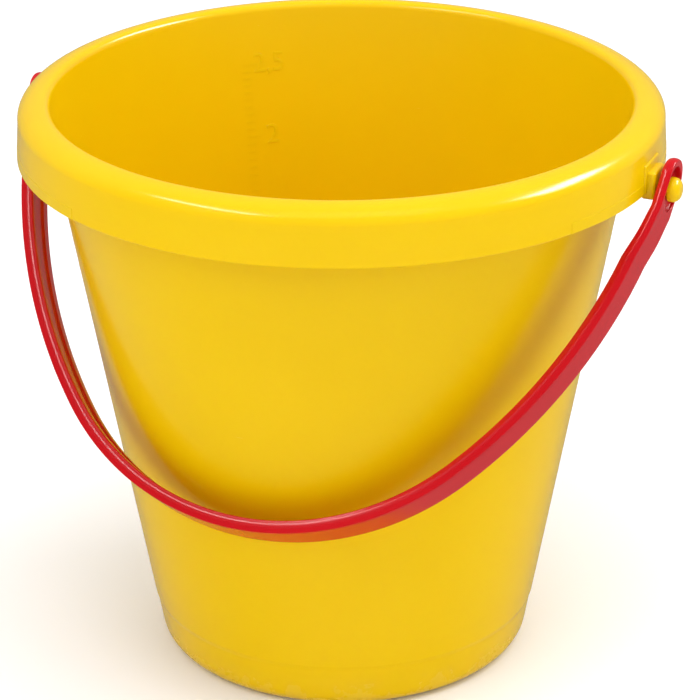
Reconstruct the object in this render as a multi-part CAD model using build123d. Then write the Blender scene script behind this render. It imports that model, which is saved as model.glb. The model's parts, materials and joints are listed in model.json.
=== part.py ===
import os
from build123d import *

# Sand bucket: a moulded plastic pail with a rolled-down rim and one swinging bail handle.
# Millimetres, +Z up, origin at the centre of the foot ring, on the ground.
# The pivot axis runs along X; the handle hangs on the -Y side.

# Wall of the pail: a drafted cone
pail_height = 180.0
cone_radius_at_ground = 57.9
cone_slope = 0.178
wall_across = 2.0
floor_thickness = 2.2
bottom_corner_radius = 6.2
inner_corner_radius = 5.0
mouth_edge_radius = 0.95

# Foot: a narrow ring stands on the ground, the floor sits just above it
foot_ring_inner_radius = 48.0
foot_recess = 1.6
foot_band_height = 14.5
foot_band_step = 0.3

# Rim: the lip turns over and hangs down as a skirt, hollow underneath
rim_radius = 97.4
skirt_bottom_z = 162.7
skirt_flare = 0.4
skirt_thickness = 1.8
flange_thickness = 2.0
shoulder_across = 7.6
shoulder_height = 5.0
bead_height = 1.6
bead_proud = 0.25

# Pivot bosses on the skirt and the studs that stand on them
pivot_z = 163.4
boss_face_x = 100.35
boss_width = 10.0
boss_bottom_z = 161.0
boss_top_z = 169.5
pad_face_x = 98.1
pad_width = 13.0
pad_top_z = 171.9
neck_diameter = 4.4
head_diameter = 7.4
head_start_x = 103.35
head_length = 3.8
head_dome_radius = 2.6
head_edge_radius = 0.5

# Handle: a band bent to a two-radius arc, with a flat eye at each end
hang_angle = 39.2
band_width = 13.0
band_thickness = 3.9
band_corner_radius = 0.8
groove_width = 5.6
groove_depth = 0.6
groove_start_drop = 27.0
arc_depth = 121.3
bottom_arc_radius = 81.4
bottom_arc_half_angle = 48.0
leg_arc_radius = 160.6
eye_inner_x = 100.7
eye_thickness = 3.1
eye_lean = 0.08
eye_top = 9.4
eye_straight_drop = 7.6
outer_ramp_drop = 24.0
inner_ramp_drop = 24.0
eye_hole_diameter = 4.56
pocket_length = 13.8
pocket_width = 10.4
pocket_floor_x = 103.0


def cone_radius(z):
    """Outer radius of the pail's wall at a height."""
    return cone_radius_at_ground + cone_slope * z


def wall_inner_radius(z):
    """Inner radius of the pail's wall at a height."""
    return cone_radius(z) - wall_across * 1.016


def round_corner(face, x, z, radius):
    """Round the corner of a section that lies nearest to a point."""
    corner = face.vertices().sort_by_distance((x, z, 0))[0]
    return fillet(corner, radius)


def pail_body():
    """Floor, foot ring and tapered wall, up to the edge of the mouth."""
    floor_top = foot_recess + floor_thickness
    seam_z = pail_height - flange_thickness
    foot_x = cone_radius(0) - foot_band_step
    mouth_x = wall_inner_radius(pail_height)
    inner_floor_x = wall_inner_radius(floor_top)
    outline = Polyline(
        (0, foot_recess),
        (foot_ring_inner_radius - 1.0, foot_recess),
        (foot_ring_inner_radius, 0),
        (foot_x, 0),
        (cone_radius(foot_band_height) - foot_band_step, foot_band_height),
        (cone_radius(foot_band_height), foot_band_height + 0.8),
        (cone_radius(seam_z), seam_z),
        (cone_radius(seam_z), pail_height),
        (mouth_x, pail_height),
        (inner_floor_x, floor_top),
        (0, floor_top),
        (0, foot_recess),
    )
    face = make_face(outline)
    face = round_corner(face, foot_x, 0, bottom_corner_radius)
    face = round_corner(face, inner_floor_x, floor_top, inner_corner_radius)
    face = round_corner(face, mouth_x, pail_height, mouth_edge_radius)
    return revolve(Plane.XZ * face, Axis.Z, 360)


def rim_ring():
    """The lip's flange and the skirt that hangs from it, hollow underneath."""
    seam_z = pail_height - flange_thickness
    seam_x = cone_radius(seam_z)
    skirt_outer = rim_radius + skirt_flare
    skirt_inner = skirt_outer - skirt_thickness
    flange_end_x = rim_radius - skirt_thickness
    bead_x = skirt_outer + bead_proud
    bead_top = skirt_bottom_z + bead_height
    shoulder_z = pail_height - shoulder_height
    shoulder_x = rim_radius - shoulder_across
    under = Polyline(
        (seam_x, pail_height),
        (seam_x, seam_z),
        (flange_end_x, seam_z),
        (skirt_inner, skirt_bottom_z),
        (bead_x, skirt_bottom_z),
        (bead_x, bead_top),
        (skirt_outer, bead_top + 0.5),
        (rim_radius, shoulder_z),
    )
    shoulder = EllipticalCenterArc(
        (shoulder_x, shoulder_z), shoulder_across, shoulder_height, start_angle=0, arc_size=90
    )
    top = Line((shoulder_x, pail_height), (seam_x, pail_height))
    face = make_face(Curve() + under + shoulder + top)
    face = round_corner(face, flange_end_x, seam_z, 2.6)
    face = round_corner(face, bead_x, skirt_bottom_z, 0.6)
    face = round_corner(face, skirt_inner, skirt_bottom_z, 0.5)
    return revolve(Plane.XZ * face, Axis.Z, 360)


def pivot_boss(side):
    """Raised flat pad and block on the skirt that carry one stud."""
    skirt_mid = rim_radius - 0.5 * skirt_thickness
    pad_height = pad_top_z - skirt_bottom_z
    pad = Box(pad_face_x - skirt_mid, pad_width, pad_height, align=(Align.MIN, Align.CENTER, Align.MIN))
    pad = Pos(skirt_mid, 0, skirt_bottom_z) * pad
    pad = fillet(pad.edges().filter_by(Axis.X), 1.5)
    block_height = boss_top_z - boss_bottom_z
    block = Box(
        boss_face_x - skirt_mid, boss_width, block_height, align=(Align.MIN, Align.CENTER, Align.MIN)
    )
    block = Pos(skirt_mid, 0, boss_bottom_z) * block
    block = fillet(block.edges().filter_by(Axis.X), 1.2)
    both = pad + block
    if side < 0:
        both = both.mirror(Plane.YZ)
    return both


def rim():
    """The turned-down rim with the two pivot bosses on its skirt."""
    ring = rim_ring()
    for side in (-1, 1):
        ring = ring + pivot_boss(side)
    return ring


def pivot_stud(side):
    """One stud: a neck that the eye turns on and a domed head that keeps it there."""
    standing = (Align.CENTER, Align.CENTER, Align.MIN)
    neck_length = head_start_x - boss_face_x
    neck = Cylinder(neck_diameter / 2, neck_length + 1.0, align=standing)
    head = Cylinder(head_diameter / 2, head_length, align=standing)
    head = fillet(head.edges().filter_by(GeomType.CIRCLE).sort_by(Axis.Z)[-1], head_dome_radius)
    head = fillet(head.edges().filter_by(GeomType.CIRCLE).sort_by(Axis.Z)[0], head_edge_radius)
    stud = neck + Pos(0, 0, neck_length) * head
    stud = Pos(boss_face_x, 0, pivot_z) * Rot(0, 90, 0) * stud
    if side < 0:
        stud = stud.mirror(Plane.YZ)
    return stud


def arc_centres():
    """Centres of the bottom arc and of the right leg's arc, as (x, drop below the pivot)."""
    turn = bottom_arc_half_angle
    bottom = Vector(0, arc_depth - bottom_arc_radius)
    step = Vector(0, bottom_arc_radius - leg_arc_radius).rotate(Axis.Z, -turn)
    return bottom, bottom + step


def leg_x(drop, outward=0.0):
    """Half-width of the handle at a drop below the pivot, some way outward of its centre line."""
    centre = arc_centres()[1]
    radius = leg_arc_radius + outward
    return centre.X + (radius**2 - (drop - centre.Y) ** 2) ** 0.5


def band_edge(outward, leg_drop):
    """One edge of the arched band, right to left, some way outward of its centre line."""
    bottom = arc_centres()[0]
    turn = bottom_arc_half_angle
    joint = bottom + Vector(0, bottom_arc_radius + outward).rotate(Axis.Z, -turn)
    half_drop = 0.5 * (leg_drop + joint.Y)
    leg_end = (leg_x(leg_drop, outward), -leg_drop)
    leg_middle = (leg_x(half_drop, outward), -half_drop)
    right = ThreePointArc(leg_end, leg_middle, (joint.X, -joint.Y))
    lowest = ThreePointArc((joint.X, -joint.Y), (0, -arc_depth - outward), (-joint.X, -joint.Y))
    left = ThreePointArc((-joint.X, -joint.Y), (-leg_middle[0], -half_drop), (-leg_end[0], -leg_drop))
    return [right, lowest, left]


def eye_edge(side):
    """Outline of one eye, from the band's outer edge over the top to its inner edge."""
    half = band_thickness / 2
    eye_outer_x = eye_inner_x + eye_thickness
    lean = eye_lean * (eye_top + eye_straight_drop)
    points = (
        (leg_x(outer_ramp_drop, half), -outer_ramp_drop),
        (eye_outer_x, -eye_straight_drop),
        (eye_outer_x + lean, eye_top),
        (eye_inner_x + lean, eye_top),
        (eye_inner_x, -eye_straight_drop),
        (leg_x(inner_ramp_drop, -half), -inner_ramp_drop),
    )
    return [Polyline(*[(side * x, z) for x, z in points])]


def handle_bar():
    """Plain handle: the band and its two eyes as one bar, hanging straight down from the pivot."""
    half = band_thickness / 2
    outline = Curve() + band_edge(half, outer_ramp_drop) + band_edge(-half, inner_ramp_drop)
    outline = outline + eye_edge(1) + eye_edge(-1)
    bar = extrude(Plane.XZ * make_face(outline), band_width / 2, both=True)
    end_radius = band_width / 2
    end_z = eye_top - end_radius
    corners = Pos(0, 0, end_z) * Box(300, band_width, end_radius, align=(Align.CENTER, Align.CENTER, Align.MIN))
    corners = corners - Pos(0, 0, end_z) * Rot(0, 90, 0) * Cylinder(end_radius, 320)
    return bar - corners


def groove():
    """Shallow groove along the band's inner face."""
    inner = band_edge(-band_thickness / 2 + groove_depth, groove_start_drop)
    above = band_edge(-band_thickness / 2 - 1.0, groove_start_drop)
    ends = [Line(inner[0] @ 0, above[0] @ 0), Line(inner[2] @ 1, above[2] @ 1)]
    outline = Curve() + inner + above + ends
    return extrude(Plane.XZ * make_face(outline), groove_width / 2, both=True)


def eye_pocket(side):
    """Long pocket around the stud's head, with the hole for its neck."""
    pocket = extrude(Plane.YZ.offset(pocket_floor_x) * SlotOverall(pocket_length, pocket_width, 90), 10)
    hole = Pos(eye_inner_x, 0, 0) * Rot(0, 90, 0) * Cylinder(eye_hole_diameter / 2, 20)
    both = pocket + hole
    if side < 0:
        both = both.mirror(Plane.YZ)
    return both


def handle():
    """The whole bail handle, hanging against the front of the pail."""
    bail = handle_bar()
    bail = fillet(bail.edges(), band_corner_radius)
    bail = bail - groove()
    for side in (-1, 1):
        bail = bail - eye_pocket(side)
    return Pos(0, 0, pivot_z) * Rot(-hang_angle, 0, 0) * bail


def main():
    os.makedirs("parts", exist_ok=True)
    nodes = {
        "pail_body": pail_body(),
        "rim": rim(),
        "pivot_stud_right": pivot_stud(1),
        "pivot_stud_left": pivot_stud(-1),
        "handle": handle(),
    }
    for name, shape in nodes.items():
        box = shape.bounding_box()
        print(name, len(shape.solids()), "solid(s)", box.min, box.max, round(shape.volume), "mm3")
        export_step(shape, f"parts/{name}.step")


main()
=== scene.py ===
import json
import math

import bmesh
import bpy
from mathutils import Matrix, Vector


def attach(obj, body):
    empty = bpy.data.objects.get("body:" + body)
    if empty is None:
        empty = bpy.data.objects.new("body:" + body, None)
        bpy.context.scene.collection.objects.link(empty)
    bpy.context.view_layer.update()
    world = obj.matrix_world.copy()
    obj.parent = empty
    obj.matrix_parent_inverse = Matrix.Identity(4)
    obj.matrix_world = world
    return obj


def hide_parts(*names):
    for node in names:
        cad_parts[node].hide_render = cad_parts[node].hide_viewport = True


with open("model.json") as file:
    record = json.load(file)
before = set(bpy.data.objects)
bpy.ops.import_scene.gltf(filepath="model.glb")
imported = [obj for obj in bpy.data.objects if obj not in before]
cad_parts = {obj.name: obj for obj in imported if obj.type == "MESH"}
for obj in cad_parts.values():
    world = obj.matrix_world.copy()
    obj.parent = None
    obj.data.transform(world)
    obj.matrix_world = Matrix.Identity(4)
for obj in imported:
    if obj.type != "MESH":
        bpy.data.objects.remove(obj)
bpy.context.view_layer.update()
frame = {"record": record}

record = frame["record"]
swing = record["behaviour"]["joints"][0]
pivotPoint = Vector(swing["pos_m"])
mm = 0.001
weldDistance = 2e-6  # doubles closer than this are merged, in metres
seamDistance = 4e-6  # the same for the seam of a turned piece
arcEndDistance = 5e-5  # and for the ends of arcs that meet


class Signal:
    # a socket of a node tree that takes part in plain arithmetic
    def __init__(self, graph, socket):
        self.graph = graph
        self.socket = socket

    def maths(self, operation, first, second):
        return self.graph.out("ShaderNodeMath", {"operation": operation}, {0: first, 1: second})

    def __add__(self, other):
        return self.maths("ADD", self, other)

    def __sub__(self, other):
        return self.maths("SUBTRACT", self, other)

    def __rsub__(self, other):
        return self.maths("SUBTRACT", other, self)

    def __mul__(self, other):
        return self.maths("MULTIPLY", self, other)

    __radd__ = __add__
    __rmul__ = __mul__


class Graph:
    # fills a node tree: a node's type, its settings, then its values or links
    def __init__(self, tree):
        self.tree = tree

    def node(self, kind, settings=None, inputs=None):
        made = self.tree.nodes.new(kind)
        for key, value in (settings or {}).items():
            if key == "stops":
                self.rampStops(made, value)
            else:
                setattr(made, key, value)
        for key, value in (inputs or {}).items():
            source = value.socket if isinstance(value, Signal) else value
            if isinstance(source, bpy.types.NodeSocket):
                self.tree.links.new(source, made.inputs[key])
            else:
                made.inputs[key].default_value = source
        return made

    def out(self, kind, settings=None, inputs=None, output=0):
        return Signal(self, self.node(kind, settings, inputs).outputs[output])

    def rampStops(self, ramp, stops):
        elements = ramp.color_ramp.elements
        while len(elements) < len(stops):
            elements.new(0.5)
        for element, (place, value) in zip(elements, stops):
            element.position = place
            element.color = (value, value, value, 1)

    def ramp(self, signal, low, high):
        stops = ((low, 0.0), (high, 1.0))
        return self.out("ShaderNodeValToRGB", {"stops": stops}, {"Fac": signal})

    def noise(self, place, scale, detail=2.0, roughness=0.5):
        sizes = {"Vector": place, "Scale": scale, "Detail": detail, "Roughness": roughness}
        return self.out("ShaderNodeTexNoise", None, sizes)

    def blend(self, factor, first, second):
        node = self.node("ShaderNodeMix", {"data_type": "RGBA"}, {0: factor, 6: first, 7: second})
        return Signal(self, node.outputs[2])


def colour(red, green, blue):
    # screen colour, 0 to 255, to the shader's own linear value
    def linear(part):
        part = part / 255
        return part / 12.92 if part <= 0.04045 else ((part + 0.055) / 1.055) ** 2.4
    return (linear(red), linear(green), linear(blue), 1.0)


plasticLooks = {
    "pailPlastic": {
        "deep": colour(226, 184, 0),
        "pale": colour(237, 196, 0),
        "scuff": colour(240, 206, 70),
        "roughness": 0.16,
        "grain": 0.03,
        "gloss": 0.5,
        "seep": 0.12,
        "seepColour": (1.0, 0.42, 0.02),
    },
    "handlePlastic": {
        "deep": colour(184, 3, 16),
        "pale": colour(200, 12, 24),
        "scuff": colour(218, 70, 66),
        "roughness": 0.17,
        "grain": 0.04,
        "gloss": 0.5,
        "seep": 0.08,
        "seepColour": (1.0, 0.08, 0.04),
    },
}


surfaceDetail = {
    "cloudScale": 14.0,
    "peelScale": 900.0,
    "sinkScale": 32.0,
    "speckScale": 260.0,
    "rubScale": 120.0,
    "scratchTurn": (0.3, 0.5, 0.9),
    "scratchStretch": (40.0, 900.0, 900.0),
    "footHeight": 0.012,  # scuffs lie below this, in metres
    "footFade": 0.01,
    "scuffShare": 0.1,
    "scratchShare": 0.05,
    "reliefStrength": 0.12,
    "reliefHeight": 0.0006,
    "refraction": 1.49,
    "seepDepth": 0.003,
}


def mouldedPlastic(name):
    # glossy moulded plastic: colour clouds, orange-peel grain, sink marks, scratches, scuffed foot
    look = plasticLooks[name]
    detail = surfaceDetail
    material = bpy.data.materials.new(name)
    material.use_nodes = True
    material.node_tree.nodes.clear()
    graph = Graph(material.node_tree)
    place = graph.out("ShaderNodeTexCoord", None, None, 3)
    height = graph.out("ShaderNodeSeparateXYZ", None, {0: place}, 2)
    clouds = graph.noise(place, detail["cloudScale"], 3.0, 0.55)
    peel = graph.noise(place, detail["peelScale"], 2.0, 0.5)
    sink = graph.noise(place, detail["sinkScale"], 2.0, 0.45)
    stretched = graph.out("ShaderNodeMapping", None, {
        0: place,
        2: detail["scratchTurn"],
        3: detail["scratchStretch"],
    })
    scratches = graph.ramp(graph.noise(stretched, 1.0, 4.0, 0.6), 0.68, 0.8)
    specks = graph.ramp(graph.noise(place, detail["speckScale"], 5.0, 0.7), 0.66, 0.78)
    foot = graph.ramp(detail["footHeight"] - height, 0.0, detail["footFade"])
    rub = graph.ramp(graph.noise(place, detail["rubScale"], 5.0, 0.65), 0.45, 0.62)
    worn = foot * rub
    tone = graph.blend(clouds, look["deep"], look["pale"])
    marked = worn * detail["scuffShare"] + scratches * detail["scratchShare"]
    scuffed = graph.blend(marked, tone, look["scuff"])
    roughness = look["roughness"] + clouds * 0.05 + specks * 0.06 + scratches * 0.12 + worn * 0.3
    relief = peel * look["grain"] + sink * 0.5 - scratches * 0.03
    bump = graph.out("ShaderNodeBump", None, {
        "Strength": detail["reliefStrength"],
        "Distance": detail["reliefHeight"],
        "Height": relief,
    })
    shader = graph.node("ShaderNodeBsdfPrincipled", None, {
        "Base Color": scuffed,
        "Roughness": roughness,
        "Normal": bump,
        "IOR": detail["refraction"],
        "Specular IOR Level": look["gloss"],
        "Subsurface Weight": look["seep"],
        "Subsurface Radius": look["seepColour"],
        "Subsurface Scale": detail["seepDepth"],
    })
    graph.node("ShaderNodeOutputMaterial", None, {0: shader.outputs[0]})
    return material


pailPlastic = mouldedPlastic("pailPlastic")
handlePlastic = mouldedPlastic("handlePlastic")
print("materials ready")


def newObject(name, mesh):
    made = bpy.data.objects.new(name, mesh)
    bpy.context.scene.collection.objects.link(made)
    return made


def geometryTree(name, inputs):
    # a Geometry Nodes tree with one geometry and named inputs, its graph and the inputs' sockets
    tree = bpy.data.node_groups.new(name, "GeometryNodeTree")
    tree.interface.new_socket("Geometry", in_out="INPUT", socket_type="NodeSocketGeometry")
    for label, kind in inputs.items():
        tree.interface.new_socket(label, in_out="INPUT", socket_type="NodeSocket" + kind)
    tree.interface.new_socket("Geometry", in_out="OUTPUT", socket_type="NodeSocketGeometry")
    graph = Graph(tree)
    start = graph.node("NodeGroupInput")
    return tree, graph, start.outputs


def closeTree(graph, geometry, material):
    # every tree ends in real, smooth faces with their material
    real = graph.out("GeometryNodeRealizeInstances", None, {0: geometry})
    smooth = graph.out("GeometryNodeSetShadeSmooth", None, {0: real})
    painted = graph.out("GeometryNodeSetMaterial", None, {0: smooth, 2: material})
    graph.node("NodeGroupOutput", None, {0: painted})


def grown(name, base, tree, values):
    # runs a tree on a base mesh and keeps the result as a plain mesh
    holder = newObject(name + "Base", base)
    modifier = holder.modifiers.new("grow", "NODES")
    modifier.node_group = tree
    for item in tree.interface.items_tree:
        if item.in_out == "INPUT" and item.name in values:
            modifier[item.identifier] = values[item.name]
    holder.update_tag()
    depsgraph = bpy.context.evaluated_depsgraph_get()
    mesh = bpy.data.meshes.new_from_object(holder.evaluated_get(depsgraph), depsgraph=depsgraph)
    holder.modifiers.clear()
    bpy.data.objects.remove(holder)
    return mesh


def tidyMesh(mesh, material, close=False):
    # merges doubles, closes the ends, turns the faces outwards
    build = bmesh.new()
    build.from_mesh(mesh)
    bmesh.ops.remove_doubles(build, verts=build.verts, dist=weldDistance)
    if close:
        rims = [edge for edge in build.edges if edge.is_boundary]
        bmesh.ops.holes_fill(build, edges=rims, sides=0)
        for edge in rims:
            edge.smooth = False
    bmesh.ops.recalc_face_normals(build, faces=build.faces)
    for face in build.faces:
        face.smooth = True
    build.to_mesh(mesh)
    build.free()
    mesh.materials.clear()
    mesh.materials.append(material)
    return mesh


def lineMesh(name, points, closed=False):
    # a polyline in the XY plane, in metres
    edges = [(i, i + 1) for i in range(len(points) - 1)]
    if closed:
        edges.append((len(points) - 1, 0))
    mesh = bpy.data.meshes.new(name)
    mesh.from_pydata([(x * mm, y * mm, 0) for x, y in points], edges, [])
    return mesh


def softLine(corners, closed=False, steps=7, longest=7.0, support=0.4):
    # a polyline with rounded corners: each corner is (x, y, radius)
    count = len(corners)
    line = []
    for i, (x, y, radius) in enumerate(corners):
        here = Vector((x, y))
        if radius <= 0 or (not closed and i in (0, count - 1)):
            line.append(here)
            continue
        before = (Vector(corners[i - 1][:2]) - here).normalized()
        after = (Vector(corners[(i + 1) % count][:2]) - here).normalized()
        half = before.angle(after) / 2
        reach = radius / math.tan(half)
        centre = here + (before + after).normalized() * radius / math.sin(half)
        first = here + before * reach
        last = here + after * reach
        startAngle = math.atan2(first.y - centre.y, first.x - centre.x)
        sweep = math.atan2(last.y - centre.y, last.x - centre.x) - startAngle
        sweep = (sweep + math.pi) % (2 * math.pi) - math.pi
        line.append(first + before * support)
        for k in range(steps + 1):
            angle = startAngle + sweep * k / steps
            line.append(centre + Vector((math.cos(angle), math.sin(angle))) * radius)
        line.append(last + after * support)
    full = []
    pairs = zip(line, line[1:] + line[:1]) if closed else zip(line, line[1:])
    for here, there in pairs:
        full.append(here)
        pieces = int((there - here).length / longest)
        for k in range(pieces):
            full.append(here.lerp(there, (k + 1) / (pieces + 1)))
    if not closed:
        full.append(line[-1])
    return [(point.x, point.y) for point in full]


def lathe(fullTurn):
    # turns a profile about Z: the profile's x is the radius and its y, downwards, the height
    inputs = {"Segments": "Int", "Sweep": "Float", "Material": "Material"}
    tree, graph, start = geometryTree("fullLathe" if fullTurn else "partLathe", inputs)
    sizes = {"Resolution": start["Segments"], "Radius": hubRadius * mm}
    if fullTurn:
        ring = graph.out("GeometryNodeCurvePrimitiveCircle", {"mode": "RADIUS"}, sizes)
    else:
        sizes["Sweep Angle"] = start["Sweep"]
        ring = graph.out("GeometryNodeCurveArc", {"mode": "RADIUS"}, sizes)
    level = graph.out("GeometryNodeSetCurveNormal", {"mode": "Z_UP"}, {0: ring})
    profile = graph.out("GeometryNodeMeshToCurve", None, {0: start["Geometry"]})
    skin = graph.out("GeometryNodeCurveToMesh", None, {0: level, 1: profile})
    merged = graph.out("GeometryNodeMergeByDistance", None, {0: skin, 2: seamDistance})
    closeTree(graph, merged, start["Material"])
    return tree


hubRadius = 0.1  # the circle that a profile runs along, in mm
latheTrees = {True: lathe(True), False: lathe(False)}


def turned(name, points, material, segments=224, sweep=360.0):
    fullTurn = sweep >= 360
    base = lineMesh(name, [(max(x, 0) - hubRadius, -y) for x, y in points])
    values = {"Segments": segments, "Sweep": math.radians(sweep), "Material": material}
    return tidyMesh(grown(name, base, latheTrees[fullTurn], values), material, close=not fullTurn)


pail = {
    "height": 180.0,
    "groundRadius": 57.9,  # the wall's cone, carried down to the ground
    "slope": 0.178,
    "wall": 2.03,
    "floorTop": 3.8,
    "floorUnder": 1.6,
    "ringInner": 48.0,
    "ringSlope": 1.2,
    "footCorner": 6.2,
    "footBand": 14.5,
    "footStep": 0.3,
    "footBlend": 1.6,
    "flange": 2.0,
    "floorCorner": 5.0,
    "rimRadius": 97.4,
    "skirtBottom": 162.7,
    "skirtFlare": 0.4,
    "skirtWall": 1.8,
    "shoulderAcross": 7.6,
    "shoulderHeight": 5.0,
    "lipHeight": 6.0,
    "lipProud": 0.14,
    "mouthEdge": 2.3,
    "ringHeights": (155.0, 146.5, 137.5, 128.5, 24.0),  # faint moulding rings on the wall
    "ringDepth": 0.05,
    "ringWidth": 1.4,
}


def coneRadius(z):
    return pail["groundRadius"] + pail["slope"] * z


def innerRadius(z):
    return coneRadius(z) - pail["wall"]


def ringRipple(z):
    # height of the faint rings at a level of the outer wall
    total = 0.0
    for level in pail["ringHeights"]:
        total += pail["ringDepth"] * math.exp(-((z - level) / pail["ringWidth"]) ** 2)
    return total


def pailProfile():
    # from the middle of the underside round the outside and back to the middle of the floor
    top = pail["height"]
    under = top - pail["flange"]
    skirtOut = pail["rimRadius"] + pail["skirtFlare"]
    skirtIn = skirtOut - pail["skirtWall"]
    lip = skirtOut + pail["lipProud"]
    lipTop = pail["skirtBottom"] + pail["lipHeight"]
    shoulderZ = top - pail["shoulderHeight"]
    shoulderX = pail["rimRadius"] - pail["shoulderAcross"]
    band = pail["footBand"]
    step = pail["footStep"]
    corners = [
        (0, pail["floorUnder"], 0),
        (pail["ringInner"] - pail["ringSlope"], pail["floorUnder"], 0.5),
        (pail["ringInner"], 0, 0.4),
        (coneRadius(0) - step, 0, pail["footCorner"]),
        (coneRadius(band) - step, band, 1.5),
        (coneRadius(band + pail["footBlend"]), band + pail["footBlend"], 1.5),
        (coneRadius(under), under, 1.0),
        (pail["rimRadius"] - pail["skirtWall"], under, 2.6),
        (skirtIn, pail["skirtBottom"], 0.6),
        (lip, pail["skirtBottom"], 0.8),
        (skirtOut - 0.06, lipTop, 3.0),
        (pail["rimRadius"], shoulderZ - 1.0, 0),
    ]
    shoulderSteps = 18
    for k in range(shoulderSteps):
        angle = math.pi / 2 * k / shoulderSteps
        x = shoulderX + pail["shoulderAcross"] * math.cos(angle)
        corners.append((x, shoulderZ + pail["shoulderHeight"] * math.sin(angle), 0))
    corners += [
        (innerRadius(top), top, pail["mouthEdge"]),
        (innerRadius(pail["floorTop"]), pail["floorTop"], pail["floorCorner"]),
        (0, pail["floorTop"], 0),
    ]
    line = softLine(corners, steps=8, longest=2.2, support=0.35)
    rippled = []
    for x, z in line:
        onOuterWall = abs(x - coneRadius(z)) < 0.05 and band + 2 < z < under - 2
        rippled.append((x + (ringRipple(z) if onOuterWall else 0), z))
    return rippled


pailMesh = turned("pail", pailProfile(), pailPlastic, segments=240)
pailPiece = newObject("pail", pailMesh)
print("pail turned", len(pailMesh.polygons), "faces")


skirtBand = {
    "low": 0.35,  # its edges, above the bottom of the skirt
    "height": 3.9,
    "proud": 0.2,
    "root": 0.6,  # how far it reaches into the skirt
    "startAngle": -26.8,  # from the right stud, towards the front
    "sweep": 268.0,  # round the back to the left of the front
}


def skirtBandMesh():
    # a thin proud band round the skirt, turned part of the way
    low = pail["skirtBottom"] + skirtBand["low"]
    high = pail["skirtBottom"] + skirtBand["height"]
    outer = pail["rimRadius"] + pail["skirtFlare"]
    corners = [
        (outer - skirtBand["root"], low, 0),
        (outer + skirtBand["proud"] + 0.02, low, 0.15),
        (outer + skirtBand["proud"] - 0.08, high - 0.3, 0.3),
        (outer - 0.1, high + 0.1, 0.1),
        (outer - skirtBand["root"], high + 0.1, 0),
    ]
    points = softLine(corners, steps=4, support=0.1)
    points.append(points[0])
    mesh = turned("skirtBand", points, pailPlastic, segments=200, sweep=skirtBand["sweep"])
    mesh.transform(Matrix.Rotation(math.radians(skirtBand["startAngle"]), 4, "Z"))
    return mesh


bandPiece = newObject("skirtBand", skirtBandMesh())


boss = {
    "faceX": 100.35,
    "width": 10.0,
    "bottom": 161.0,
    "top": 169.5,
    "padX": 98.1,
    "padWidth": 13.0,
    "padTop": 171.9,
    "rootInset": 1.2,  # how far both reach into the rim
    "edge": 0.9,
    "padEdge": 0.6,
    "padRise": 0.15,  # the pad starts this far above the bottom of the skirt
}


def softBlock(name, low, high, radius, segments=4):
    # a moulded block between two corners, its edges rounded
    build = bmesh.new()
    bmesh.ops.create_cube(build, size=1.0)
    size = Vector(high) - Vector(low)
    middle = (Vector(high) + Vector(low)) / 2
    for vert in build.verts:
        vert.co = Vector([vert.co[i] * size[i] + middle[i] for i in range(3)]) * mm
    bmesh.ops.bevel(
        build, geom=build.edges[:] + build.verts[:], offset=radius * mm, segments=segments,
        profile=0.5, affect="EDGES",
    )
    mesh = bpy.data.meshes.new(name)
    build.to_mesh(mesh)
    build.free()
    return tidyMesh(mesh, pailPlastic)


def joined(name, meshes, material):
    # several meshes as the shells of one mesh
    build = bmesh.new()
    for mesh in meshes:
        build.from_mesh(mesh)
    mesh = bpy.data.meshes.new(name)
    build.to_mesh(mesh)
    build.free()
    for polygon in mesh.polygons:
        polygon.use_smooth = True
    mesh.materials.append(material)
    return mesh


def mirrored(mesh):
    # the same mesh on the other side of the YZ plane, faces outwards
    other = mesh.copy()
    other.transform(Matrix.Scale(-1, 4, (1, 0, 0)))
    other.flip_normals()
    return other


def bossMesh():
    # the block that carries the stud, on a flatter and wider pad
    root = pail["rimRadius"] - boss["rootInset"]
    half = boss["width"] / 2
    padHalf = boss["padWidth"] / 2
    padBottom = pail["skirtBottom"] + boss["padRise"]
    blockLow = (root, -half, boss["bottom"])
    blockHigh = (boss["faceX"], half, boss["top"])
    padLow = (root, -padHalf, padBottom)
    padHigh = (boss["padX"], padHalf, boss["padTop"])
    block = softBlock("block", blockLow, blockHigh, boss["edge"])
    pad = softBlock("pad", padLow, padHigh, boss["padEdge"])
    return joined("pivotBossRight", [block, pad], pailPlastic)


rightBoss = newObject("pivotBossRight", bossMesh())
leftBoss = newObject("pivotBossLeft", mirrored(rightBoss.data))


stud = {
    "start": 100.35,
    "neckRadius": 2.2,
    "neckFoot": 0.5,  # the neck widens by this where it leaves the boss
    "headRadius": 3.7,
    "headEdge": 0.5,
    "dome": 2.5,
    "headStart": 103.35,
    "headEnd": 107.1,
}


def studMesh():
    # a neck and a domed head, turned upright and then laid along X
    headLow = stud["headStart"] - stud["start"]
    headHigh = stud["headEnd"] - stud["start"]
    corners = [
        (0, 0, 0),
        (stud["neckRadius"] + stud["neckFoot"], 0, 0),
        (stud["neckRadius"], stud["neckFoot"], 0.3),
        (stud["neckRadius"], headLow, 0.15),
        (stud["headRadius"], headLow, stud["headEdge"]),
        (stud["headRadius"], headHigh, stud["dome"]),
        (0.5, headHigh, 0.2),
        (0, headHigh - 0.12, 0),
    ]
    mesh = turned("stud", softLine(corners, steps=8, support=0.12), pailPlastic, segments=48)
    mesh.transform(Matrix.Rotation(math.pi / 2, 4, "Y"))
    mesh.transform(Matrix.Translation((stud["start"] * mm, 0, pivotPoint.z)))
    return tidyMesh(mesh, pailPlastic)


rightStud = newObject("pivotStudRight", studMesh())
leftStud = newObject("pivotStudLeft", mirrored(rightStud.data))
print("rim band, bosses and studs made")


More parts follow.
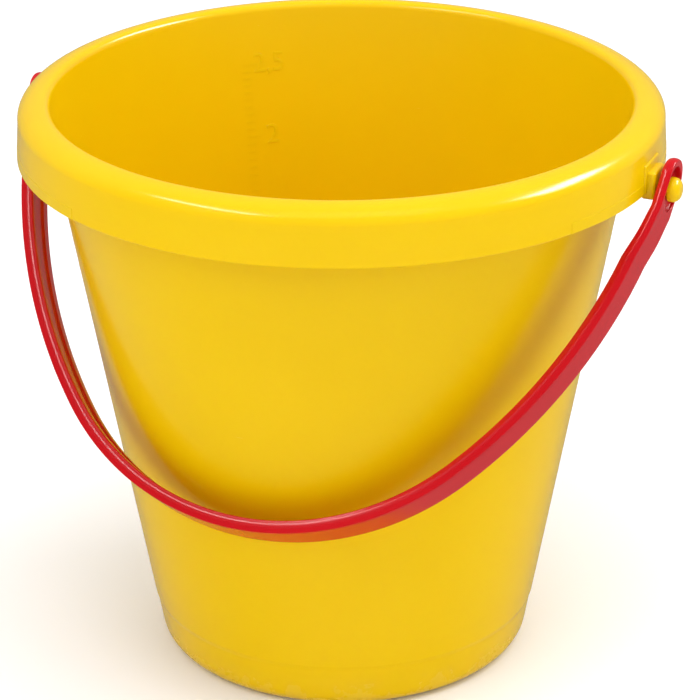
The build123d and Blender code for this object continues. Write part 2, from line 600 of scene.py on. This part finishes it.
handle = {
    "hangAngle": 39.2,
    "depth": 121.3,  # from the pivot to the band's middle line
    "bottomRadius": 81.4,
    "bottomHalfAngle": 48.0,
    "legRadius": 160.6,
    "width": 13.0,
    "thickness": 3.9,
    "cornerRadius": 0.5,
    "bulge": 0.28,  # the side faces swell a little
    "grooveWidth": 5.6,
    "grooveDepth": 0.6,
    "grooveSlope": 0.7,
    "bandStart": 24.0,  # the band begins this far below the pivot
    "bandLap": 1.2,  # and the eye's plate reaches this far into it
    "eyeInner": 100.7,  # x of the inner face where the eye's straight part ends
    "eyeThick": 3.1,
    "eyeLean": 0.08,
    "eyeLip": 0.3,  # rounding of the pocket's edge and floor
    "eyeTop": 9.4,
    "eyeDrop": 7.6,
    "eyeInset": 0.03,  # the eye's plate lies this far inside the band's faces
    "eyeSwell": 0.35,  # outward swell between the eye and the band
    "holeRadius": 2.28,
    "pocketLength": 13.8,
    "pocketWidth": 10.4,
    "pocketFloor": 103.0,
}


def legCentre():
    turn = math.radians(handle["bottomHalfAngle"])
    step = handle["bottomRadius"] - handle["legRadius"]
    drop = handle["depth"] - handle["bottomRadius"]
    return step * math.sin(turn), drop + step * math.cos(turn)


def legX(drop, outward=0.0):
    # half-width of the handle at a drop below the pivot
    centreX, centreDrop = legCentre()
    radius = handle["legRadius"] + outward
    return centreX + math.sqrt(radius**2 - (drop - centreDrop) ** 2)


def hang(mesh):
    # from hanging straight down at the origin to its place against the pail
    turn = Matrix.Rotation(math.radians(-handle["hangAngle"]), 4, "X")
    mesh.transform(Matrix.Translation(pivotPoint) @ turn)
    return mesh


def sideLine():
    # the band's side from its inner to its outer face, each point as its inset from the full
    # width and its share of the way, which runs from -1 to 1
    corner = handle["cornerRadius"]
    bulge = handle["bulge"]
    share = 2 * corner / handle["thickness"]
    cornerSteps = 6
    sideSteps = 8
    rounded = []
    for k in range(cornerSteps):
        angle = math.pi / 2 * k / cornerSteps
        inset = bulge + corner * (1 - math.sin(angle))
        rounded.append((inset, 1 - share * (1 - math.cos(angle))))
    swell = []
    for k in range(sideSteps + 1):
        way = (1 - share) * (2 * k / sideSteps - 1)
        swell.append((bulge * (way / (1 - share)) ** 2, way))
    return [(inset, -way) for inset, way in rounded] + swell + rounded[::-1]


def bandSection():
    # the band's section: x across its width, y outwards, with the groove in its inner face
    half = handle["width"] / 2
    depth = handle["thickness"] / 2
    groove = handle["grooveWidth"] / 2
    floor = -depth + handle["grooveDepth"]
    corners = [
        (-groove, -depth, 0.3),
        (-groove + handle["grooveSlope"], floor, 0.4),
        (groove - handle["grooveSlope"], floor, 0.4),
        (groove, -depth, 0.3),
    ]
    side = [(half - inset, depth * way, 0) for inset, way in sideLine()]
    corners += side + [(-x, y, 0) for x, y, radius in reversed(side)]
    return softLine(corners, closed=True, steps=4, longest=1.6, support=0.06)


def bandTree():
    # three arcs in the XZ plane, swept with the section; their shared ends are merged
    inputs = {
        "Bottom radius": "Float",
        "Leg radius": "Float",
        "Half angle": "Float",
        "Leg angle": "Float",
        "Bottom centre": "Vector",
        "Right centre": "Vector",
        "Left centre": "Vector",
        "Material": "Material",
    }
    tree, graph, start = geometryTree("bandSweep", inputs)

    def arc(radius, first, sweep, centre, count):
        flat = graph.out("GeometryNodeCurveArc", {"mode": "RADIUS"}, {
            "Resolution": count,
            "Radius": radius,
            "Start Angle": first,
            "Sweep Angle": sweep,
        })
        upright = graph.node("GeometryNodeTransform", None, {
            "Geometry": flat,
            "Translation": centre,
            "Rotation": (math.pi / 2, 0, 0),
        })
        return upright.outputs[0]

    halfAngle = Signal(graph, start["Half angle"])
    legAngle = Signal(graph, start["Leg angle"])
    down = -math.pi / 2
    legPoints = 48
    bottomPoints = 72
    bottomRadius = start["Bottom radius"]
    legRadius = start["Leg radius"]
    arcs = [
        arc(legRadius, down + halfAngle, legAngle, start["Right centre"], legPoints),
        arc(bottomRadius, down - halfAngle, halfAngle * 2, start["Bottom centre"], bottomPoints),
        arc(legRadius, down - halfAngle - legAngle, legAngle, start["Left centre"], legPoints),
    ]
    path = graph.node("GeometryNodeJoinGeometry")
    for piece in arcs:
        tree.links.new(piece, path.inputs[0])
    wire = graph.out("GeometryNodeCurveToMesh", None, {0: path.outputs[0]})
    whole = graph.out("GeometryNodeMergeByDistance", None, {0: wire, 2: arcEndDistance})
    line = graph.out("GeometryNodeMeshToCurve", None, {0: whole})
    section = graph.out("GeometryNodeMeshToCurve", None, {0: start["Geometry"]})
    skin = graph.out("GeometryNodeCurveToMesh", None, {0: line, 1: section})
    closeTree(graph, skin, start["Material"])
    return tree


def bandMesh():
    centreX, centreDrop = legCentre()
    reach = math.acos((handle["bandStart"] - centreDrop) / handle["legRadius"])
    halfAngle = math.radians(handle["bottomHalfAngle"])
    values = {
        "Bottom radius": handle["bottomRadius"] * mm,
        "Leg radius": handle["legRadius"] * mm,
        "Half angle": halfAngle,
        "Leg angle": reach - halfAngle,
        "Bottom centre": (0.0, 0.0, -(handle["depth"] - handle["bottomRadius"]) * mm),
        "Right centre": (centreX * mm, 0.0, -centreDrop * mm),
        "Left centre": (-centreX * mm, 0.0, -centreDrop * mm),
        "Material": handlePlastic,
    }
    section = lineMesh("bandSection", bandSection(), closed=True)
    mesh = grown("band", section, bandTree(), values)
    return tidyMesh(mesh, handlePlastic, close=True)


def outlineRadius(angle, top, half, bottom):
    # from the pivot to the edge of a plate with a round top and a square bottom
    along, across = math.cos(angle), math.sin(angle)
    if along > 0:
        return min(half / max(abs(across), 1e-9), bottom / along)
    middle = -(top - half) * along  # the round top's centre, seen along the ray
    if half * abs(along) <= (top - half) * abs(across):
        return half / abs(across)
    return middle + math.sqrt(middle**2 - (top - half) ** 2 + half**2)


def eyeFace(drop, outer):
    # x of the eye's outer or inner face at a drop below the pivot
    half = handle["thickness"] / 2 - handle["eyeInset"]
    straight = handle["eyeDrop"]
    join = handle["bandStart"]
    flatX = handle["eyeInner"] + (handle["eyeThick"] if outer else 0)
    outward = half if outer else -half
    if drop <= straight:
        return flatX + handle["eyeLean"] * (straight - drop)
    if drop >= join:
        return legX(drop, outward)
    share = (drop - straight) / (join - straight)
    line = flatX + (legX(join, outward) - flatX) * share
    return line + handle["eyeSwell"] * math.sin(math.pi * share) ** 2


def loft(name, rings, material):
    # a closed skin through closed rings, the last joined to the first
    count = len(rings[0])
    verts = [point for ring in rings for point in ring]
    faces = []
    for i in range(len(rings)):
        j = (i + 1) % len(rings)
        for k in range(count):
            m = (k + 1) % count
            faces.append((i * count + k, i * count + m, j * count + m, j * count + k))
    mesh = bpy.data.meshes.new(name)
    mesh.from_pydata(verts, [], faces)
    return tidyMesh(mesh, material)


def eyeAngles(half, bottom):
    # rays round the pivot, with extra ones down the long sides and at the square corners
    corner = math.atan2(half, bottom)
    bottomRays = 12
    topRays = 40
    sideStep = 0.9
    angles = [corner * (k + 0.5) / bottomRays for k in range(bottomRays)]
    drop = bottom
    while drop > -1.0:
        angles.append(math.atan2(half, drop))
        drop -= sideStep
    last = angles[-1]
    angles += [last + (math.pi - last) * (k + 0.5) / topRays for k in range(topRays)]
    return angles + [2 * math.pi - angle for angle in reversed(angles)]


def eyeMesh():
    # one eye as rings round the pivot: inner face, rounded edge, outer face, pocket, hole
    half = handle["width"] / 2
    bottom = handle["bandStart"] + handle["bandLap"]
    angles = eyeAngles(half, bottom)
    pocketHalf = handle["pocketWidth"] / 2
    pocketEnd = handle["pocketLength"] / 2
    floorX = handle["pocketFloor"]
    hole = handle["holeRadius"]

    def ring(radiusAt, xAt):
        points = []
        for angle in angles:
            radius = radiusAt(angle)
            drop = radius * math.cos(angle)
            across = radius * math.sin(angle)
            points.append((xAt(drop) * mm, across * mm, -drop * mm))
        return points

    def plate(inset):
        top = handle["eyeTop"] - inset
        return lambda angle: outlineRadius(angle, top, half - inset, bottom - inset)

    def pocket(outset):
        end = pocketEnd + outset
        wide = pocketHalf + outset

        def radiusAt(angle):
            away = angle if math.cos(angle) < 0 else math.pi - angle
            return outlineRadius(away, end, wide, end)

        return radiusAt

    def circle(radius):
        return lambda angle: radius

    def level(x):
        return lambda drop: x

    def face(outer, rise=0.0):
        return lambda drop: eyeFace(drop, outer) + rise

    def between(first, second, share):
        return lambda angle: first(angle) + (second(angle) - first(angle)) * share

    def side(inset, way):
        share = (way + 1) / 2

        def acrossPlate(drop):
            return eyeFace(drop, False) * (1 - share) + eyeFace(drop, True) * share

        return ring(plate(inset), acrossPlate)

    edge = handle["bulge"] + handle["cornerRadius"]
    rings = [ring(circle(hole + 0.3), face(False))]
    for share in (0.06, 0.2, 0.4, 0.6, 0.8, 0.95):
        rings.append(ring(between(circle(hole + 0.3), plate(edge), share), face(False)))
    rings += [side(inset, way) for inset, way in sideLine()]
    lip = handle["eyeLip"]
    rimLine = pocket(lip)
    for share in (0.1, 0.5, 0.9):
        rings.append(ring(between(plate(edge), rimLine, share), face(True)))
    lipSteps = 6
    for k in range(lipSteps + 1):
        angle = math.pi / 2 * k / lipSteps
        outset = lip * (1 - math.sin(angle))
        rings.append(ring(pocket(outset), face(True, -lip * (1 - math.cos(angle)))))
    floorSteps = 4
    for k in range(floorSteps + 1):
        angle = math.pi / 2 * k / floorSteps
        rise = lip * (1 - math.sin(angle))
        rings.append(ring(pocket(-lip * (1 - math.cos(angle))), level(floorX + rise)))
    rings.append(ring(circle(hole + 0.5), level(floorX)))
    rings.append(ring(circle(hole + 0.2), level(floorX)))
    rings.append(ring(circle(hole), level(floorX - 0.2)))
    rings.append(ring(circle(hole), level(handle["eyeInner"] + 0.9)))
    return loft("eye", rings, handlePlastic)


rightEye = eyeMesh()
handleShells = [bandMesh(), rightEye, mirrored(rightEye)]
handleMesh = hang(joined("carryHandle", handleShells, handlePlastic))
handlePiece = newObject("carryHandle", handleMesh)
print("handle made", len(handleMesh.polygons), "faces")


litreScale = {
    "angle": 128.8,  # round the wall, from the right stud
    "tickAngle": 134.0,
    "step": 0.05,  # litres between ticks
    "first": 4,  # the lowest tick, in steps from the floor
    "last": 2.5,
    "longEvery": 10,
    "numerals": {"0,5": 0.5, "1": 1.0, "1,5": 1.5, "2": 2.0, "2,5": 2.5},
    "shortTick": 3.0,
    "longTick": 6.0,
    "tickHeight": 0.5,
    "numeralHeight": 6.4,
    "numeralBevel": 0.08,
    "numeralThin": 0.05,
    "proud": 0.09,
}


def levelOf(litres):
    # height inside the pail that holds so many litres
    slope = pail["slope"]
    floorRadius = innerRadius(pail["floorTop"])
    cubed = litres * 1e6 * 3 * slope / math.pi + floorRadius**3
    return (cubed ** (1 / 3) - floorRadius) / slope + pail["floorTop"]


def wallFrame(angle, z):
    # on the inside wall: x to the right for someone looking at it, y up the wall, z inwards
    turn = math.radians(angle)
    lean = math.atan(pail["slope"])
    out = Vector((math.cos(turn), math.sin(turn), 0))
    up = out * math.sin(lean) + Vector((0, 0, math.cos(lean)))
    normal = Vector((0, 0, math.sin(lean))) - out * math.cos(lean)
    right = up.cross(normal)
    place = out * innerRadius(z) + Vector((0, 0, z))
    matrix = Matrix((right, up, normal)).transposed().to_4x4()
    matrix.translation = place * mm
    return matrix


def tickTree():
    # a small bar on every point; points marked long get a longer one
    inputs = {"Bar": "Vector", "Long": "Float", "Turn": "Rotation", "Material": "Material"}
    tree, graph, start = geometryTree("litreTicks", inputs)
    bar = graph.out("GeometryNodeMeshCube", None, {"Size": start["Bar"]})
    mark = graph.out("GeometryNodeInputNamedAttribute", {"data_type": "FLOAT"}, {"Name": "long"})
    stretch = mark * Signal(graph, start["Long"]) + 1.0
    scale = graph.out("ShaderNodeCombineXYZ", None, {0: stretch, 1: 1.0, 2: 1.0})
    points = graph.out("GeometryNodeMeshToPoints", None, {0: start["Geometry"]})
    bars = graph.out("GeometryNodeInstanceOnPoints", None, {
        "Points": points,
        "Instance": bar,
        "Rotation": start["Turn"],
        "Scale": scale,
    })
    closeTree(graph, bars, start["Material"])
    return tree


def tickMesh():
    angle = litreScale["tickAngle"]
    places = []
    longs = []
    count = round(litreScale["last"] / litreScale["step"])
    for k in range(litreScale["first"], count + 1):
        isLong = k % litreScale["longEvery"] == 0
        matrix = wallFrame(angle, levelOf(k * litreScale["step"]))
        longer = (litreScale["longTick"] - litreScale["shortTick"]) / 2 if isLong else 0
        places.append(matrix @ Vector((longer * mm, 0, 0)))
        longs.append(1.0 if isLong else 0.0)
    mesh = bpy.data.meshes.new("ticks")
    mesh.from_pydata(places, [], [])
    mesh.attributes.new("long", "FLOAT", "POINT").data.foreach_set("value", longs)
    depth = litreScale["proud"] * 2  # half of it lies in the wall
    values = {
        "Bar": (litreScale["shortTick"] * mm, litreScale["tickHeight"] * mm, depth * mm),
        "Long": litreScale["longTick"] / litreScale["shortTick"] - 1,
        "Turn": tuple(wallFrame(angle, pail["height"]).to_euler()),
        "Material": pailPlastic,
    }
    return grown("ticks", mesh, tickTree(), values)


fontToCapital = 1.42  # the font's size over the height of its figures


def numeralMesh(text, litres):
    # raised figures, centred on their level of the wall
    curve = bpy.data.curves.new("numeral", "FONT")
    curve.body = text
    curve.align_x = "CENTER"
    curve.align_y = "CENTER"
    curve.size = litreScale["numeralHeight"] * fontToCapital * mm
    curve.extrude = litreScale["proud"] * mm
    curve.bevel_depth = litreScale["numeralBevel"] * mm
    curve.bevel_resolution = 2
    curve.offset = -litreScale["numeralThin"] * mm
    holder = newObject("numeral", curve)
    depsgraph = bpy.context.evaluated_depsgraph_get()
    mesh = bpy.data.meshes.new_from_object(holder.evaluated_get(depsgraph), depsgraph=depsgraph)
    bpy.data.objects.remove(holder)
    mesh.transform(wallFrame(litreScale["angle"], levelOf(litres)))
    return mesh


numerals = [numeralMesh(text, litres) for text, litres in litreScale["numerals"].items()]
scaleMesh = joined("litreScale", [tickMesh()] + numerals, pailPlastic)
for polygon in scaleMesh.polygons:
    polygon.use_smooth = False
scalePiece = newObject("litreScale", scaleMesh)
print("litre scale made")


for piece in (pailPiece, bandPiece, rightBoss, leftBoss, rightStud, leftStud, scalePiece):
    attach(piece, "bucket")
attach(handlePiece, "handle")
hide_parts("pail_body", "rim")
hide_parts("pivot_stud_right")
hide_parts("pivot_stud_left")
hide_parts("handle")


studio = {
    "worldStrength": 0.97,
    "mirrorBack": 0.3,  # what the gloss sees behind the pail
    "mirrorFront": 0.02,  # and what it sees on the camera's side
    "floorColour": (0.95, 0.95, 0.96, 1),
    "floorRoughness": 0.6,
    "floorSize": 3.0,
    "lampAim": 0.12,  # height that every lamp looks at, in metres
    "cameraDistance": 0.9746,
    "cameraAzimuth": 22.5,
    "cameraElevation": 24.0,
    "cameraRoll": -0.31,
    "lens": 160.8,
    "sensor": 36.0,
    "aimHeight": 0.0975,
    "aimRight": 0.00224,
    "aimUp": -0.00248,
}


# directions from the pail: x to the camera's right, y away from the camera, z up
softboxes = {
    "keyShine": {
        "direction": (0.70, 0.12, 0.66),
        "distance": 1.5,
        "size": (0.85, 0.34),
        "power": 20.0,
        "shine": True,
    },
    "fillShine": {
        "direction": (-0.49, -0.23, 0.84),
        "distance": 1.6,
        "size": (0.9, 0.10),
        "power": 5.0,
        "shine": True,
    },
    "keyLight": {
        "direction": (0.70, 0.12, 0.66),
        "distance": 1.5,
        "size": (0.6, 0.6),
        "power": 4.6,
        "shine": False,
    },
    "fillLight": {
        "direction": (-0.55, -0.5, 0.6),
        "distance": 1.6,
        "size": (0.6, 0.6),
        "power": 2.6,
        "shine": False,
    },
    "topLight": {
        "direction": (0.05, -0.25, 0.95),
        "distance": 1.7,
        "size": (1.2, 0.9),
        "power": 13.0,
        "shine": False,
    },
}


def paleFloor():
    # a plain floor that the plastic's gloss does not see
    build = bmesh.new()
    bmesh.ops.create_grid(build, x_segments=1, y_segments=1, size=studio["floorSize"])
    mesh = bpy.data.meshes.new("floor")
    build.to_mesh(mesh)
    build.free()
    material = bpy.data.materials.new("paleFloor")
    material.use_nodes = True
    material.node_tree.nodes.clear()
    graph = Graph(material.node_tree)
    shader = graph.node("ShaderNodeBsdfPrincipled", None, {
        "Base Color": studio["floorColour"],
        "Roughness": studio["floorRoughness"],
    })
    graph.node("ShaderNodeOutputMaterial", None, {0: shader.outputs[0]})
    mesh.materials.append(material)
    floor = newObject("floor", mesh)
    floor.visible_glossy = False


def turnedBy(azimuth, vector):
    return Matrix.Rotation(math.radians(azimuth), 3, "Z") @ Vector(vector)


def softbox(name, values):
    # an area light aimed at the pail, either lighting it or showing in its gloss
    light = bpy.data.lights.new(name, "AREA")
    light.shape = "RECTANGLE"
    light.size, light.size_y = values["size"]
    light.energy = values["power"]
    lamp = newObject(name, light)
    away = turnedBy(studio["cameraAzimuth"], values["direction"]).normalized()
    lamp.location = away * values["distance"] + Vector((0, 0, studio["lampAim"]))
    lamp.rotation_euler = away.to_track_quat("Z", "Y").to_euler()
    lamp.visible_diffuse = not values["shine"]
    lamp.visible_glossy = values["shine"]


def studioWorld():
    # an even white dome; in the plastic's gloss it is dimmer, and dark on the camera's side
    world = bpy.data.worlds.new("studio")
    bpy.context.scene.world = world
    world.use_nodes = True
    world.node_tree.nodes.clear()
    graph = Graph(world.node_tree)
    away = turnedBy(studio["cameraAzimuth"], (0, 1, 0))
    direction = graph.out("ShaderNodeTexCoord")
    ends = {0: direction, 1: tuple(away)}
    behind = graph.out("ShaderNodeVectorMath", {"operation": "DOT_PRODUCT"}, ends, 1)
    share = graph.ramp(behind * 0.5 + 0.5, 0.35, 0.75)
    mirror = share * (studio["mirrorBack"] - studio["mirrorFront"]) + studio["mirrorFront"]
    glossy = graph.out("ShaderNodeLightPath", None, None, 3)
    strength = glossy * mirror + (1 - glossy) * studio["worldStrength"]
    sky = graph.node("ShaderNodeBackground", None, {"Color": (1, 1, 1, 1), "Strength": strength})
    graph.node("ShaderNodeOutputWorld", None, {0: sky.outputs[0]})


def studioCamera():
    # a long lens, aimed a little off the pail's middle
    azimuth = math.radians(studio["cameraAzimuth"])
    elevation = math.radians(studio["cameraElevation"])
    roll = math.radians(studio["cameraRoll"])
    back = Vector((
        math.sin(azimuth) * math.cos(elevation),
        -math.cos(azimuth) * math.cos(elevation),
        math.sin(elevation),
    ))
    side = Vector((math.cos(azimuth), math.sin(azimuth), 0))
    up = back.cross(side)
    position = Vector((0, 0, studio["aimHeight"])) + back * studio["cameraDistance"]
    aim = Vector((0, 0, studio["aimHeight"])) + side * studio["aimRight"] + up * studio["aimUp"]
    back = (position - aim).normalized()
    right = (side * math.cos(roll) + up * math.sin(roll)).normalized()
    above = back.cross(right).normalized()
    right = above.cross(back)
    data = bpy.data.cameras.new("camera")
    data.lens = studio["lens"]
    data.sensor_width = studio["sensor"]
    data.clip_start = 0.05
    camera = newObject("camera", data)
    matrix = Matrix((right, above, back)).transposed().to_4x4()
    matrix.translation = position
    camera.matrix_world = matrix
    bpy.context.scene.camera = camera


paleFloor()
studioWorld()
studioCamera()
for name, values in softboxes.items():
    softbox(name, values)
bpy.context.scene.view_settings.view_transform = "Standard"
print("studio ready")
